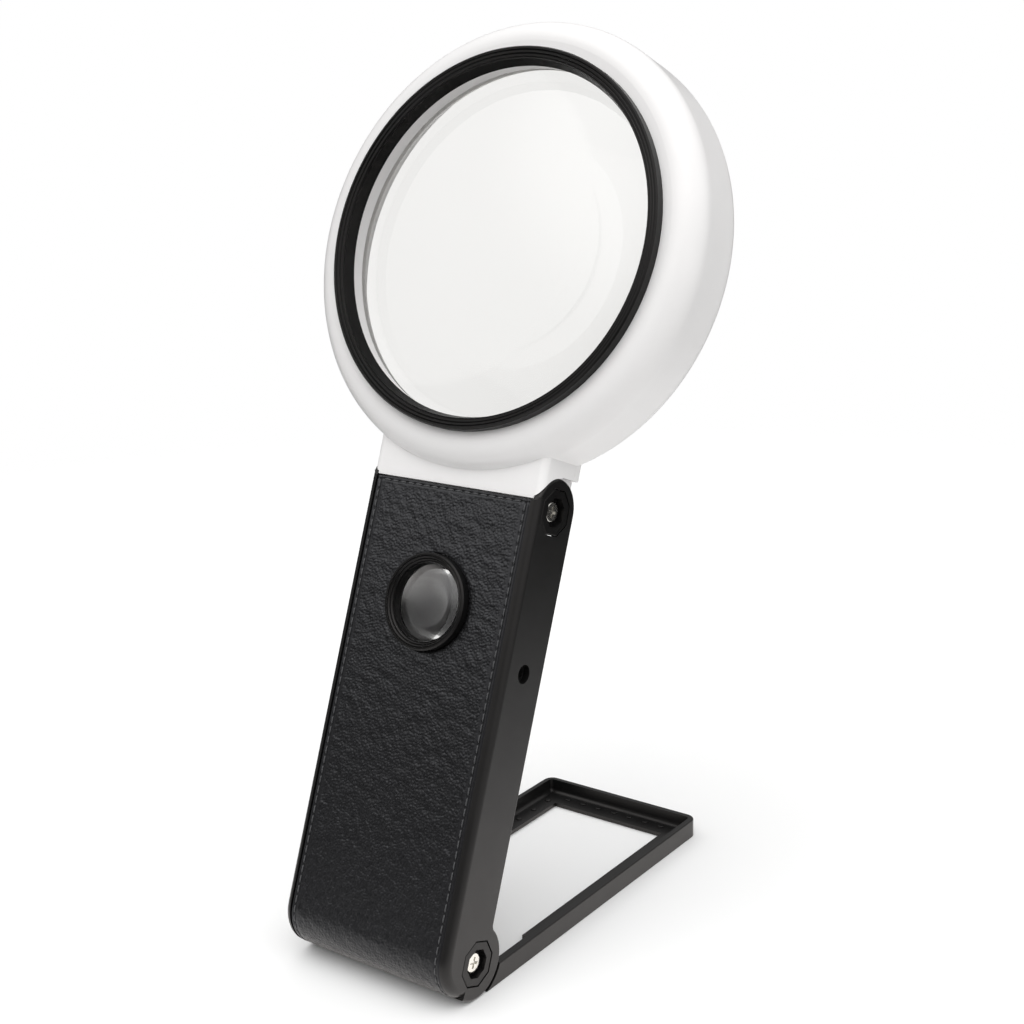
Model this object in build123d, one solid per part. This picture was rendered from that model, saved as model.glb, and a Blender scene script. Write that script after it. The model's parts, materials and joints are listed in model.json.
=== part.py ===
from build123d import *

import math
import os

# Everything on the handle and head is drawn as it stands upright, as (x, depth, height):
# x runs to the viewer's right, depth to the rear, height up the handle, all from the middle
# of the lower hinge. stand_up() then leans it back and lifts it onto the table, and centred()
# puts the middle of the whole product's plan over the origin.

# Whole product
LEAN = 21.8  # degrees the handle leans back
HALF_WIDTH = 35.0  # half the width of the handle, the neck and the stand
SLIP = 0.05  # clearance between nested or turning pieces

# Handle, side view
FRONT = -17.2
REAR = 5.25
HANDLE_TOP = 150.2
DISC_RADIUS = 12.4  # lower hinge disc, so also the height of its axis over the table
CORNER_RADIUS = 13.8
CORNER_CENTRE = (FRONT + CORNER_RADIUS, 2.6)
UPPER_HINGE = (-5.7, 147.6)
LUG_RADIUS = REAR - UPPER_HINGE[0]
REAR_FILLET = 2.5
RIM_INNER = 32.3  # the plain side rims reach from here out to HALF_WIDTH
RIM_ROUND = 0.8
RIM_CORNER = 3.0  # rounding of the rims' front corners

# Handle shells and what they hold
LEATHER = 1.5
LEATHER_HALF_WIDTH = 32.0
LEATHER_WRAP = 88.0  # degrees the leather follows the lower front corner
FRONT_WALL = -14.0  # inner face of the front wall
CAVITY_HALF_WIDTH = 32.6
CAVITY_LOW = 14.1
CAVITY_HIGH = 133.8
COVER_THICKNESS = 2.0
LUG_INNER = 32.7
KNUCKLE_WELL = 135.3
KNUCKLE_FRONT = -14.3
BOSS_X = 28.5
BOSS_LOW = 19.0
BOSS_HIGH = 128.5
BOSS_RADIUS = 3.0
PILOT = 1.05  # threaded holes for the small screws
SCREW_HOLE = 1.3
SCREW_WELL = 2.4

# Lower hinge, from the middle outwards
BARREL_HALF = 24.3
HUB_INNER = 24.95
HUB_OUTER = 29.75
CHEEK_INNER = 29.85
HUB_RADIUS = 9.6
HUB_POCKET = 10.2

# Hinge bushes and their screws
OCTAGON = 7.95  # corner radius of the octagonal flange
OCTAGON_POCKET = 8.25
OCTAGON_WELL = 5.1
FLANGE_IN = 31.4
FLANGE_OUT = 34.9
WELL_FLOOR = 32.4
JOURNAL = 4.5
UPPER_JOURNAL = 21.0  # inner end of the upper bushes
PIN_SHANK = 1.5
PIN_HEAD = 3.5
PIN_HEAD_HEIGHT = 1.1
UPPER_WASHER = 7.9
LOWER_WASHER = 9.0

# Head, side view
HEAD_CENTRE = 232.3
RING_RADIUS = 76.5
HEAD_FRONT = -22.3
HEAD_REAR = 5.4
FRONT_ROUND = 9.0
REAR_ROUND = 4.4
PARTING = 0.9
SHELL = 2.2
BEZEL_RADIUS = 64.4
BEZEL_SEAT = -20.45
BEZEL_CREST = -26.0
BARREL_RADIUS = 60.5
LENS_RADIUS = 62.4
LENS_CURVE = 240.0
LENS_EDGE_FRONT = -14.2
LENS_EDGE_REAR = -10.2
LENS_POCKET = 62.6
LIP_RADIUS = 66.3  # rear shell's collar behind the lens, flared towards the rear
LIP_INNER = 60.9
LIP_FLARE = 65.2
LIP_FRONT = -7.5
RING_INSIDE = 66.2  # inner wall of the space in the ring
LED_BOARD = (66.8, 73.6)
LED_BOARD_FRONT = -3.2
LED_BOARD_REAR = -1.7
LED_CIRCLE = 69.8
LED_COUNT = 12
LED_RADIUS = 2.5
SCREW_COUNT = 6
SCREW_START = 15.0  # degrees from the right to the first head screw
BOSS_FRONT = HEAD_FRONT + 1.9  # inside the front wall, where it curves away

# Neck
NECK_FRONT = -16.2
NECK_REAR = 5.4
NECK_LOW = 159.2
NECK_ROUND = 2.5
NECK_TOP = 190.0
TONGUE_HALF = 32.5  # half the width of the part between the lugs
TONGUE_LOW = 150.6
LUG_RECESS = LUG_RADIUS + 0.25  # round recess in the neck's sides over the lugs
BUSH_RECESS = 31.05  # where the knuckle ends, to let the bush flanges turn
TONGUE_ROOT = 4.0  # how far the tongue runs up into the neck
TONGUE_REAR = 4.0  # set back from the neck's rear face, to clear the folded stand
KNUCKLE_RADIUS = 8.2

# Small lens in the handle
SMALL_CENTRE = 111.2
SMALL_BEZEL = 16.2
SMALL_FACE = -20.2
SMALL_GLASS = 12.6
SMALL_LENS = 13.4
SMALL_CURVE = 30.0
SMALL_TUBE = 14.6
SMALL_EDGE_FRONT = -15.5
SMALL_EDGE_REAR = -13.9
SMALL_TUBE_REAR = -8.0
SLEEVE_OUTER = 14.1
SLEEVE_FLANGE = 15.4
SLEEVE_PROUD = 0.9

# Power and switching
JACK = (-5.9, 94.6)
JACK_HOLE = 3.15
JACK_SIDE = 9.0
JACK_END = 19.3
JACK_FLOOR = 22.5
JACK_MOUTH = 2.9
JACK_PIN = 0.95
JACK_PIN_TIP = 31.5
BOARD_FRONT = -1.35
BOARD_REAR = 0.25
BOARD_LOW = 85.0
BOARD_HIGH = 96.0
SWITCH = (-6.0, 92.0)
SWITCH_TRAVEL = 2.5
SPOT_LED = 90.5

# Cells: three AA side by side
CELL_RADIUS = 7.25
CELL_PITCH = 15.3
CELL_DEPTH = -5.4
CELL_LOW = 28.0
CELL_HIGH = 78.5
CONTACT_ROOM = 3.1
CONTACT_PLATE = 0.4
CONTACT_HALF = (5.5, 6.0)  # half the width and depth of a contact plate
STUD_RADIUS = 2.6
BUTTON_RADIUS = 2.75
COIL_RADIUS = 3.6
COIL_WIRE = 0.35
COIL_PITCH = 0.9

# Battery door in the rear cover
DOOR_HALF = 23.9
DOOR_HINGE = (3.7, 21.5)
DOOR_BARREL = 1.5
DOOR_TOP = 83.0
DOOR_PIN = 1.0

# Stand, in table coordinates
STAND_END = 140.5
STAND_HEIGHT = 7.0
STAND_WALL = 2.15
STAND_FLOOR = 1.5
STAND_OPENING = 130.0
STAND_STEP = 15.0  # the arms are solid from the hubs to here
STAND_NOTCH = 38.0  # and their floors are narrower from there to here
STAND_NARROW = 26.5
STAND_ARC = 13.2
STAND_CORNER = 4.0
PIP_RADIUS = 1.1
PIP_HEIGHT = 0.5

UPWARD = (Align.CENTER, Align.CENTER, Align.MIN)
DOWNWARD = (Align.CENTER, Align.CENTER, Align.MAX)


def on_circle(centre, radius, degrees):
    """Point on a circle, at an angle from the depth axis."""
    turn = math.radians(degrees)
    return (centre[0] + radius * math.cos(turn), centre[1] + radius * math.sin(turn))


def across(side_view, x0, x1):
    """Extrudes a side view, drawn as (depth, height), from x0 to x1."""
    return extrude(Plane.YZ.offset(x0) * side_view, amount=x1 - x0)


def rearward(front_view, depth0, depth1):
    """Extrudes a front view, drawn as (x, height), from depth0 back to depth1."""
    return extrude(Plane.XZ.offset(-depth0) * front_view, amount=depth0 - depth1)


def block(low, high):
    """Box between two opposite corners."""
    size = [b - a for a, b in zip(low, high)]
    return Pos(*low) * Box(*size, align=(Align.MIN, Align.MIN, Align.MIN))


def rod(x0, x1, centre, radius):
    """Round rod across the product, centred on a side-view point."""
    return across(Pos(*centre) * Circle(radius), x0, x1)


def post(depth0, depth1, x, height, radius):
    """Round post from front to rear."""
    return rearward(Pos(x, height) * Circle(radius), depth0, depth1)


def turned(outline, height):
    """Turns an outline of (depth, radius) about the axis of a lens at the given height."""
    axis = Axis((0, 0, height), (0, 1, 0))
    return revolve(Plane.YZ * Pos(0, height) * outline, axis)


def hoop(inner, outer, depth0, depth1, height):
    """Plain ring about the axis of a lens."""
    outline = Polyline((depth0, inner), (depth1, inner), (depth1, outer), (depth0, outer), close=True)
    return turned(make_face(outline), height)


def pair(shape):
    """The shape and its mirror image on the other side."""
    return shape + mirror(shape, about=Plane.YZ)


def plan_middle():
    """How far the middle of the product's plan lies behind the lower hinge."""
    lean = math.radians(LEAN)
    corner = CORNER_CENTRE[0] * math.cos(lean) + CORNER_CENTRE[1] * math.sin(lean)
    return (STAND_END + corner - CORNER_RADIUS) / 2


def centred(shape):
    """Moves a piece from the lower hinge's place to the middle of the product's plan."""
    return Pos(0, -plan_middle(), 0) * shape


def stand_up(shape):
    """Leans a handle or head piece back and lifts it onto the table."""
    return Pos(0, 0, DISC_RADIUS) * Rot(-LEAN, 0, 0) * shape


def octagon(radius):
    """Octagon with two flats upright."""
    return RegularPolygon(radius, 8, rotation=22.5)


def screw(head_radius, head_height, shank_radius, length):
    """Pan-head screw with a cross recess, head up, its top at the origin."""
    head = Pos(0, 0, -head_height) * Cylinder(head_radius, head_height, align=UPWARD)
    head = fillet(head.edges().sort_by(Axis.Z)[-1], head_height * 0.6)
    shank = Cylinder(shank_radius, length, align=DOWNWARD)
    slot = Box(head_radius * 1.1, head_radius * 0.26, head_height * 1.1)
    return head + shank - slot - Rot(0, 0, 90) * slot


def side_outline():
    """Side view of the handle's cheeks: rim, lower corner, hinge disc, rear face and top lug."""
    slant = math.hypot(*CORNER_CENTRE)
    lie = math.degrees(math.atan2(CORNER_CENTRE[1], CORNER_CENTRE[0]))
    meet = lie + math.degrees(math.acos((DISC_RADIUS - CORNER_RADIUS) / slant))
    fillet_depth = REAR + REAR_FILLET
    fillet_height = math.sqrt((DISC_RADIUS + REAR_FILLET) ** 2 - fillet_depth**2)
    fillet_centre = (fillet_depth, fillet_height)
    turn = math.degrees(math.atan2(fillet_height, fillet_depth))
    ledge = 180 - math.degrees(math.asin((HANDLE_TOP - UPPER_HINGE[1]) / LUG_RADIUS))
    return make_face(
        [
            Line((FRONT, CORNER_CENTRE[1]), (FRONT, HANDLE_TOP)),
            Line((FRONT, HANDLE_TOP), on_circle(UPPER_HINGE, LUG_RADIUS, ledge)),
            CenterArc(UPPER_HINGE, LUG_RADIUS, ledge, -ledge),
            Line((REAR, UPPER_HINGE[1]), (REAR, fillet_height)),
            CenterArc(fillet_centre, REAR_FILLET, 180, turn),
            CenterArc((0, 0), DISC_RADIUS, turn, meet - 360 - turn),
            Line(on_circle((0, 0), DISC_RADIUS, meet), on_circle(CORNER_CENTRE, CORNER_RADIUS, meet)),
            CenterArc(CORNER_CENTRE, CORNER_RADIUS, meet, 180 - meet),
        ]
    )


def leather_band(thickness, top):
    """Side view of the leather: down the front and round the lower corner."""
    inner = CORNER_RADIUS - thickness
    end = 180 + LEATHER_WRAP
    return make_face(
        [
            Line((FRONT, top), (FRONT, CORNER_CENTRE[1])),
            CenterArc(CORNER_CENTRE, CORNER_RADIUS, 180, LEATHER_WRAP),
            Line(on_circle(CORNER_CENTRE, CORNER_RADIUS, end), on_circle(CORNER_CENTRE, inner, end)),
            CenterArc(CORNER_CENTRE, inner, end, -LEATHER_WRAP),
            Line((FRONT + thickness, CORNER_CENTRE[1]), (FRONT + thickness, top)),
            Line((FRONT + thickness, top), (FRONT, top)),
        ]
    )


def rim_corner():
    """Cutter that rounds the right rim down the front and round the lower corner."""
    flat = HALF_WIDTH - RIM_CORNER
    square = Rectangle(RIM_CORNER + 1, RIM_CORNER + 1, align=(Align.MIN, Align.MIN))
    profile = Pos(flat, FRONT - 1) * square - Pos(flat, FRONT + RIM_CORNER) * Circle(RIM_CORNER)
    profile = Pos(0, 0, CORNER_CENTRE[1]) * profile
    straight = extrude(profile, amount=HANDLE_TOP + 1 - CORNER_CENTRE[1])
    return straight + revolve(profile, Axis((0, *CORNER_CENTRE), (1, 0, 0)), LEATHER_WRAP)


def hub_room():
    """Side view of the space that a stand hub and its arm sweep through."""
    reach = 40.0
    low = on_circle((0, 0), reach, -75)
    fan = Polyline((0, 0), low, (reach, low[1]), (reach, reach), (REAR, reach), (REAR, 0), close=True)
    return make_face(fan) + Circle(HUB_POCKET)


def hinge_cuts(centre, inner):
    """Octagonal pocket and journal bore for one bush, on the viewer's right."""
    pocket = across(Pos(*centre) * octagon(OCTAGON_POCKET), FLANGE_IN - SLIP, HALF_WIDTH + 1)
    return pocket + rod(inner, HALF_WIDTH, centre, JOURNAL + SLIP)


def cell_bay():
    """Ribs and bulkheads that hold the cells."""
    half = 1.5 * CELL_PITCH + 0.4
    low = CELL_LOW - CONTACT_ROOM - CONTACT_PLATE - SLIP
    high = CELL_HIGH + CONTACT_ROOM + CONTACT_PLATE + SLIP
    side = block((half, FRONT_WALL - 0.5, low), (half + 1.0, 2.5, high))
    end = block((-half - 1.0, FRONT_WALL - 0.5, low - 1.2), (half + 1.0, 2.5, low))
    return pair(side) + end + Pos(0, 0, high - low + 1.2) * end


def handle_front_shell():
    """Deep front shell: front wall, side rims, upper lugs, lower discs and middle barrel."""
    outline = side_outline()
    cheek = across(outline, RIM_INNER, HALF_WIDTH)
    rim_edges = cheek.faces().sort_by(Axis.X)[-1].edges()
    cheek = fillet([edge for edge in rim_edges if edge.length > 2.0], RIM_ROUND)
    cheek -= rim_corner()
    shell = across(outline - leather_band(LEATHER, HANDLE_TOP), -RIM_INNER, RIM_INNER) + pair(cheek)
    shell -= block((-LUG_INNER, KNUCKLE_FRONT, KNUCKLE_WELL), (LUG_INNER, 20, 200))
    shell -= block((-LUG_INNER, -30, HANDLE_TOP), (LUG_INNER, 20, 200))
    shell -= block(
        (-CAVITY_HALF_WIDTH, FRONT_WALL, CAVITY_LOW), (CAVITY_HALF_WIDTH, 20, CAVITY_HIGH)
    )
    shell -= pair(across(hub_room(), BARREL_HALF, CHEEK_INNER))
    for height in (BOSS_LOW, BOSS_HIGH):
        shell += pair(post(FRONT_WALL - 0.5, REAR - COVER_THICKNESS - SLIP, BOSS_X, height, BOSS_RADIUS))
        shell -= pair(post(-9, 10, BOSS_X, height, PILOT))
    shell += cell_bay()
    shell -= pair(hinge_cuts(UPPER_HINGE, LUG_INNER - 1))
    shell -= pair(hinge_cuts((0, 0), CHEEK_INNER - 1))
    shell -= pair(rod(8, BARREL_HALF + 1, (0, 0), PIN_SHANK + SLIP))
    shell -= post(-30, 0, 0, SMALL_CENTRE, SMALL_TUBE + 0.1)
    shell -= rod(CAVITY_HALF_WIDTH - 1, HALF_WIDTH + 1, JACK, JACK_HOLE)
    shell -= across(Pos(*SWITCH) * Rectangle(7, 16), -HALF_WIDTH - 1, -HALF_WIDTH + 1)
    shell -= across(Pos(*SWITCH) * Rectangle(3.4, 10), -HALF_WIDTH, -CAVITY_HALF_WIDTH + 1)
    return shell


def handle_rear_cover():
    """Rear plate with the battery opening, lens hole, lamp hole and door hinge ears."""
    edge = 0.1
    inside = REAR - COVER_THICKNESS
    plate = block(
        (-CAVITY_HALF_WIDTH + edge, inside, CAVITY_LOW + edge),
        (CAVITY_HALF_WIDTH - edge, REAR, CAVITY_HIGH - edge),
    )
    plate = fillet(plate.edges().filter_by(Axis.Y), 1.5)
    plate = chamfer(plate.faces().sort_by(Axis.Y)[-1].edges(), 0.4)
    plate -= block(
        (-DOOR_HALF - 0.2, 0, DOOR_HINGE[1] - DOOR_BARREL - 0.3), (DOOR_HALF + 0.2, 10, DOOR_TOP + 0.2)
    )
    ear = block(
        (DOOR_HALF + 0.2, 1.6, DOOR_HINGE[1] - 1.7), (DOOR_HALF + 1.5, inside + 0.5, DOOR_HINGE[1] + 1.7)
    )
    plate += pair(ear)
    plate -= pair(rod(DOOR_HALF - 1, DOOR_HALF + 1.3, DOOR_HINGE, DOOR_PIN + SLIP))
    plate -= post(0, 10, 0, SMALL_CENTRE, SLEEVE_OUTER + 0.1)
    plate -= post(0, 10, 0, SPOT_LED, LED_RADIUS + 0.1)
    for height in (BOSS_LOW, BOSS_HIGH):
        plate -= pair(post(0, 10, BOSS_X, height, SCREW_HOLE))
        plate -= pair(post(REAR - 1.2, 10, BOSS_X, height, SCREW_WELL))
    return plate


def cover_screws():
    """Four screws through the rear cover into the front shell's bosses."""
    one = screw(2.2, 1.0, 1.0, 10)
    right = [Pos(BOSS_X, REAR - 0.15, height) * Rot(-90, 0, 0) * one for height in (BOSS_LOW, BOSS_HIGH)]
    return pair(right[0]) + pair(right[1])


def leather_wrap():
    """Soft covering of the front, between the side rims."""
    band = leather_band(LEATHER - SLIP, HANDLE_TOP - SLIP)
    sheet = across(band, -LEATHER_HALF_WIDTH, LEATHER_HALF_WIDTH)
    return sheet - post(-30, 0, 0, SMALL_CENTRE, SMALL_BEZEL + 0.1)


def battery_door():
    """Snap-in door that swings out on two stub pins at its lower edge."""
    inner = DOOR_HINGE[0] - 0.3
    outer = DOOR_HINGE[0] + DOOR_BARREL
    panel = block((-DOOR_HALF, inner, DOOR_HINGE[1]), (DOOR_HALF, outer, DOOR_TOP))
    door = panel + rod(-DOOR_HALF, DOOR_HALF, DOOR_HINGE, DOOR_BARREL)
    door += rod(-DOOR_HALF - 1.2, DOOR_HALF + 1.2, DOOR_HINGE, DOOR_PIN)
    grip = post(outer - 0.7, 10, 0, DOOR_TOP + 1.0, 7.0)
    for step in range(3):
        height = DOOR_TOP - 9.5 - 2.2 * step
        door -= block((-8, outer - 0.5, height), (8, 10, height + 0.9))
    return door - grip


def battery_cells():
    """Three AA cells, the middle one upside down."""
    length = CELL_HIGH - CELL_LOW - 1.0
    can = Cylinder(CELL_RADIUS, length, align=UPWARD)
    can = chamfer(can.edges().filter_by(GeomType.CIRCLE), 0.5)
    cell = can + Cylinder(BUTTON_RADIUS, length + 1.0, align=UPWARD)
    upright = Pos(0, CELL_DEPTH, CELL_LOW) * cell
    turned_over = Pos(0, CELL_DEPTH, CELL_HIGH) * Rot(180, 0, 0) * cell
    return Pos(-CELL_PITCH, 0, 0) * upright + turned_over + Pos(CELL_PITCH, 0, 0) * upright


def contact_ends():
    """Each cell's (x, spring height, button height), with springs on the flat ends."""
    low = CELL_LOW - CONTACT_ROOM
    return [(-CELL_PITCH, low, CELL_HIGH), (0, CELL_HIGH, low), (CELL_PITCH, low, CELL_HIGH)]


def battery_contact_plates():
    """Plates at both ends of the cells, each with a stud for a positive end."""
    plates = Part()
    low = CELL_LOW - CONTACT_ROOM - CONTACT_PLATE
    high = CELL_HIGH + CONTACT_ROOM
    for x, spring, stud in contact_ends():
        for height in (low, high):
            corner = (x - CONTACT_HALF[0], CELL_DEPTH - CONTACT_HALF[1], height)
            opposite = (x + CONTACT_HALF[0], CELL_DEPTH + CONTACT_HALF[1], height + CONTACT_PLATE)
            plates += block(corner, opposite)
        lift = SLIP if stud > CELL_LOW else 0
        foot = Pos(x, CELL_DEPTH, stud + lift)
        plates += foot * Cylinder(STUD_RADIUS, CONTACT_ROOM - SLIP, align=UPWARD)
    return plates


def battery_springs():
    """Coil springs between the plates and the flat ends of the cells."""
    wire = COIL_WIRE
    springs = Part()
    for x, height, stud in contact_ends():
        path = Helix(COIL_PITCH, CONTACT_ROOM - 2 * wire - 2 * SLIP, COIL_RADIUS)
        coil = sweep(Plane(path @ 0, z_dir=path % 0) * Circle(wire), path, is_frenet=True)
        springs += Pos(x, CELL_DEPTH, height + wire + SLIP) * coil
    return springs


def circuit_board():
    """Board across the handle below the small lens, with a few parts on it."""
    board = block((-31, BOARD_FRONT, BOARD_LOW), (31, BOARD_REAR, BOARD_HIGH))
    for x in (-18, -10, 6, 12):
        board += block((x - 2, BOARD_FRONT - 1.4, 88.5), (x + 2, BOARD_FRONT + 0.1, 91.5))
    return board


def dc_jack():
    """Round power socket behind the hole in the right side."""
    body = across(Pos(*JACK) * Rectangle(JACK_SIDE, JACK_SIDE), JACK_END, CAVITY_HALF_WIDTH - 0.1)
    body -= rod(JACK_FLOOR, HALF_WIDTH, JACK, JACK_MOUTH)
    return body + rod(JACK_FLOOR - 1, JACK_PIN_TIP, JACK, JACK_PIN)


def slide_switch_body():
    """Switch can on the board, open towards the left side for the knob's stem."""
    can = across(Pos(*SWITCH) * Rectangle(8.8, 12.5), -30.8, -26.5)
    return can - across(Pos(*SWITCH) * Rectangle(3.4, 9.6), -31, -28.4)


def switch_knob():
    """Ribbed thumb knob with a stem through the side wall."""
    floor = -HALF_WIDTH + 1 - SLIP
    knob = across(Pos(*SWITCH) * Rectangle(5.0, 7.0), floor - 1.7, floor)
    knob = fillet(knob.faces().sort_by(Axis.X)[0].edges(), 0.5)
    for step in (-2, -1, 0, 1, 2):
        height = SWITCH[1] + 1.1 * step
        knob -= across(Pos(SWITCH[0], height) * Rectangle(6, 0.45), floor - 2, floor - 1.35)
    return knob + across(Pos(*SWITCH) * Rectangle(2.8, 4.0), floor - 0.1, -29.0)


def lamp(foot, tip):
    """Round lamp with a domed end, standing rearward from foot to tip."""
    body = post(foot, tip, 0, 0, LED_RADIUS)
    rim = body.faces().sort_by(Axis.Y)[-1].edges()
    return fillet(rim, LED_RADIUS * 0.8)


def spot_led():
    """Lamp behind the handle that lights the page under the small lens."""
    return Pos(0, 0, SPOT_LED) * lamp(BOARD_REAR + SLIP, REAR + 0.6)


def small_lens_bezel():
    """Black ring proud of the leather, stepped on the inside, with a tube for the lens."""
    steps = [(SMALL_FACE + 0.5, SMALL_BEZEL), (SMALL_FACE, SMALL_BEZEL - 0.5)]
    for step in range(3):
        radius = SMALL_BEZEL - 0.95 - 0.8 * step
        depth = SMALL_FACE + 0.65 * step
        steps += [(depth, radius), (depth + 0.45, radius - 0.18), (depth + 0.3, radius - 0.42)]
    steps += [(SMALL_FACE + 2.2, SMALL_BEZEL - 3.1), (SMALL_FACE + 3.6, SMALL_GLASS)]
    pocket = SMALL_LENS + 0.1
    seat = SMALL_EDGE_FRONT - seat_room(SMALL_LENS, SMALL_GLASS, SMALL_CURVE)
    rear = SMALL_TUBE_REAR
    flange = FRONT + LEATHER - SLIP
    outline = steps + [(seat, SMALL_GLASS), (seat, pocket), (rear, pocket), (rear, SMALL_TUBE)]
    outline += [(flange, SMALL_TUBE), (flange, SMALL_BEZEL)]
    return turned(make_face(Polyline(*outline, close=True)), SMALL_CENTRE)


def bulge(radius, curve):
    """How far a ball face stands out over its circle of the given radius."""
    return curve - math.sqrt(curve**2 - radius**2)


def seat_room(edge, inner, curve):
    """Room a lens seat leaves for the face between its inner circle and the lens edge."""
    return bulge(edge, curve) - bulge(inner, curve) + SLIP


def biconvex(radius, curve, edge_front, edge_rear, height):
    """Lens with two equal ball faces and a flat edge."""
    top = bulge(radius, curve)
    mid = radius / 2
    lift = top - bulge(mid, curve)
    outline = make_face(
        [
            ThreePointArc((edge_front - top, 0), (edge_front - lift, mid), (edge_front, radius)),
            Line((edge_front, radius), (edge_rear, radius)),
            ThreePointArc((edge_rear, radius), (edge_rear + lift, mid), (edge_rear + top, 0)),
            Line((edge_rear + top, 0), (edge_front - top, 0)),
        ]
    )
    return turned(outline, height)


def small_lens():
    """Strong small lens in the handle."""
    return biconvex(SMALL_LENS, SMALL_CURVE, SMALL_EDGE_FRONT, SMALL_EDGE_REAR, SMALL_CENTRE)


def small_lens_retainer():
    """Ring that holds the small lens from behind."""
    front = SMALL_EDGE_REAR + seat_room(SMALL_LENS, SMALL_GLASS, SMALL_CURVE)
    return hoop(SMALL_GLASS, SMALL_LENS + 0.05, front, SMALL_TUBE_REAR, SMALL_CENTRE)


def small_lens_sleeve():
    """Sleeve that lines the hole through the rear cover, with a flange outside."""
    sleeve = hoop(SMALL_GLASS, SLEEVE_OUTER, SMALL_TUBE_REAR + 0.1, REAR + SLEEVE_PROUD, SMALL_CENTRE)
    flange = hoop(SMALL_GLASS, SLEEVE_FLANGE, REAR + SLIP, REAR + SLEEVE_PROUD, SMALL_CENTRE)
    sleeve += flange
    return fillet(sleeve.faces().sort_by(Axis.Y)[-1].edges(), 0.35)


def hinge_bush(centre, journal_end):
    """Octagonal flange seated in the side of the handle, with a round journal inboard."""
    flange = across(Pos(*centre) * octagon(OCTAGON), FLANGE_IN, FLANGE_OUT)
    flange = fillet(flange.faces().sort_by(Axis.X)[-1].edges(), 0.4)
    bush = flange + rod(journal_end, FLANGE_IN + 0.5, centre, JOURNAL)
    bush -= across(Pos(*centre) * octagon(OCTAGON_WELL), WELL_FLOOR, HALF_WIDTH)
    return bush - rod(journal_end - 1, HALF_WIDTH, centre, PIN_SHANK + SLIP)


def hinge_screw(centre, length):
    """Screw in the well of a hinge bush."""
    top = WELL_FLOOR + SLIP + PIN_HEAD_HEIGHT
    return Pos(top, *centre) * Rot(0, 90, 0) * screw(PIN_HEAD, PIN_HEAD_HEIGHT, PIN_SHANK, length)


def washer(inner_x, outer_x, centre, radius):
    """Thin friction washer round a journal."""
    return rod(inner_x, outer_x, centre, radius) - rod(inner_x - 1, outer_x + 1, centre, JOURNAL + 0.1)


def ring_body():
    """Head ring before it is hollowed, round at the front and rear outer edges."""
    outline = make_face(
        [
            Line((HEAD_FRONT, BARREL_RADIUS), (HEAD_FRONT, RING_RADIUS - FRONT_ROUND)),
            CenterArc((HEAD_FRONT + FRONT_ROUND, RING_RADIUS - FRONT_ROUND), FRONT_ROUND, 180, -90),
            Line((HEAD_FRONT + FRONT_ROUND, RING_RADIUS), (HEAD_REAR - REAR_ROUND, RING_RADIUS)),
            CenterArc((HEAD_REAR - REAR_ROUND, RING_RADIUS - REAR_ROUND), REAR_ROUND, 90, -90),
            Line((HEAD_REAR, RING_RADIUS - REAR_ROUND), (HEAD_REAR, BARREL_RADIUS)),
            Line((HEAD_REAR, BARREL_RADIUS), (HEAD_FRONT, BARREL_RADIUS)),
        ]
    )
    return turned(outline, HEAD_CENTRE)


def neck_body():
    """Neck from the hinge to the ring, with recesses over the lugs and a tongue between them."""
    neck = block((-HALF_WIDTH, NECK_FRONT, TONGUE_LOW), (HALF_WIDTH, NECK_REAR, NECK_TOP))
    neck = fillet(neck.edges().filter_by(Axis.Z), NECK_ROUND)
    neck -= block((-40, UPPER_HINGE[0], 0), (40, 20, NECK_LOW))
    neck -= pair(rod(TONGUE_HALF, 40, UPPER_HINGE, LUG_RECESS))
    tongue = block(
        (-TONGUE_HALF, NECK_FRONT, TONGUE_LOW), (TONGUE_HALF, TONGUE_REAR, NECK_LOW + TONGUE_ROOT)
    )
    tongue = fillet(tongue.faces().sort_by(Axis.Z)[0].edges(), 0.8)
    return neck + tongue - post(-40, 20, 0, HEAD_CENTRE, RING_RADIUS - 1)


def ring_cavity():
    """Space inside the ring for the lamp board."""
    outer = RING_RADIUS - SHELL
    inner = RING_INSIDE
    front = HEAD_FRONT + SHELL
    rear = HEAD_REAR - SHELL
    bend = FRONT_ROUND - SHELL
    outline = make_face(
        [
            Line((front, inner), (front, outer - bend)),
            CenterArc((front + bend, outer - bend), bend, 180, -90),
            Line((front + bend, outer), (rear - 2, outer)),
            CenterArc((rear - 2, outer - 2), 2, 90, -90),
            Line((rear, outer - 2), (rear, inner)),
            Line((rear, inner), (front, inner)),
        ]
    )
    return turned(outline, HEAD_CENTRE)


def neck_cavity():
    """Space inside the neck, with a wire way into the ring."""
    room = block((-24, -13.8, 158.5), (24, HEAD_REAR - SHELL, 170))
    room -= post(-40, 20, 0, HEAD_CENTRE, RING_RADIUS + 0.5)
    return room + block((-5, -10, 154), (5, -4, 161))


def around_ring(count, start):
    """Places a given number of pieces evenly round the ring."""
    places = []
    for step in range(count):
        x, height = on_circle((0, HEAD_CENTRE), LED_CIRCLE, start + 360 * step / count)
        places.append(Pos(x, 0, height))
    return places


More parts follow.
